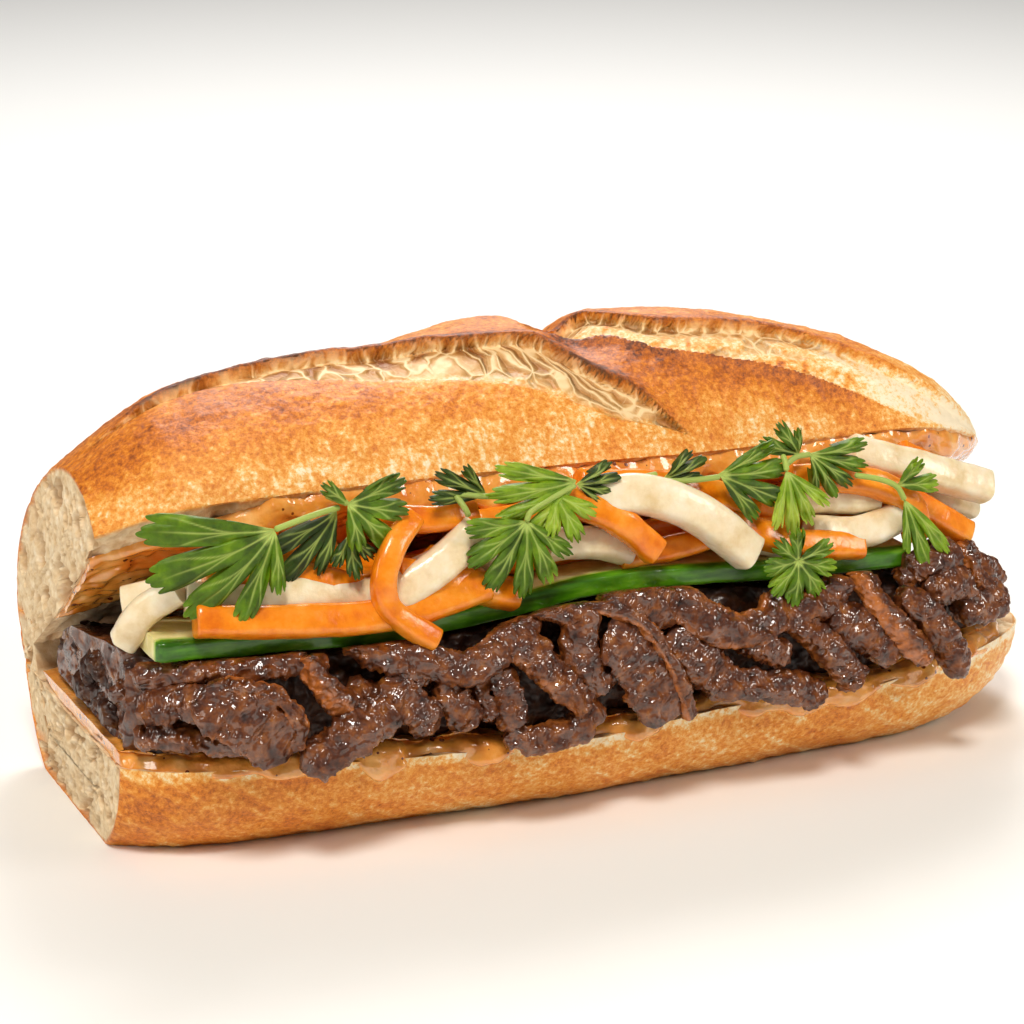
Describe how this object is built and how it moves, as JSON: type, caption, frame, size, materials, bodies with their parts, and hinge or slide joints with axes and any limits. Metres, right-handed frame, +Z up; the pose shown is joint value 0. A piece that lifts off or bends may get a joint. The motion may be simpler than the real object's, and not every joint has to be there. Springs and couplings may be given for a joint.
{
  "type": "banh mi sandwich",
  "caption": "Filled baguette sandwich, hinged along its back and opened at the front over grilled beef, cucumber, pickled vegetables and herb leaves.",
  "frame": {"origin": "middle of the footprint of the whole sandwich, on the surface that its flat underside rests on", "axes": "+X along the bread from its cut end to its round end, +Z up, the open front of the sandwich faces -Y"},
  "size_m": [0.2144, 0.1074, 0.0918],
  "materials": {
    "bread": "baked wheat crust, golden brown, matt to satin, with open cream crumb on the cut faces",
    "sauce": "glossy orange spiced mayonnaise with dark specks",
    "beef": "charred, glazed, dark brown grilled meat",
    "cucumber": "wet cut cucumber, pale flesh with dark green skin",
    "pickles": "wet pickled carrot and white radish sticks",
    "coriander": "fresh green herb leaf, satin"
  },
  "bodies": {
    "root": {"loaf": "bread", "sauce_on_base": "sauce", "sauce_on_lid": "sauce", "beef": "beef", "cucumber": "cucumber", "pickles": "pickles", "coriander_big_left": "coriander", "coriander_dark_left": "coriander", "coriander_light_left": "coriander", "coriander_dark_upper": "coriander", "coriander_middle": "coriander", "coriander_middle_top": "coriander", "coriander_dark_middle": "coriander", "coriander_small_right": "coriander", "coriander_big_right": "coriander", "coriander_lobe_right": "coriander", "coriander_top_right": "coriander", "coriander_on_cucumber": "coriander", "coriander_far_right": "coriander"}
  },
  "joints": []
}
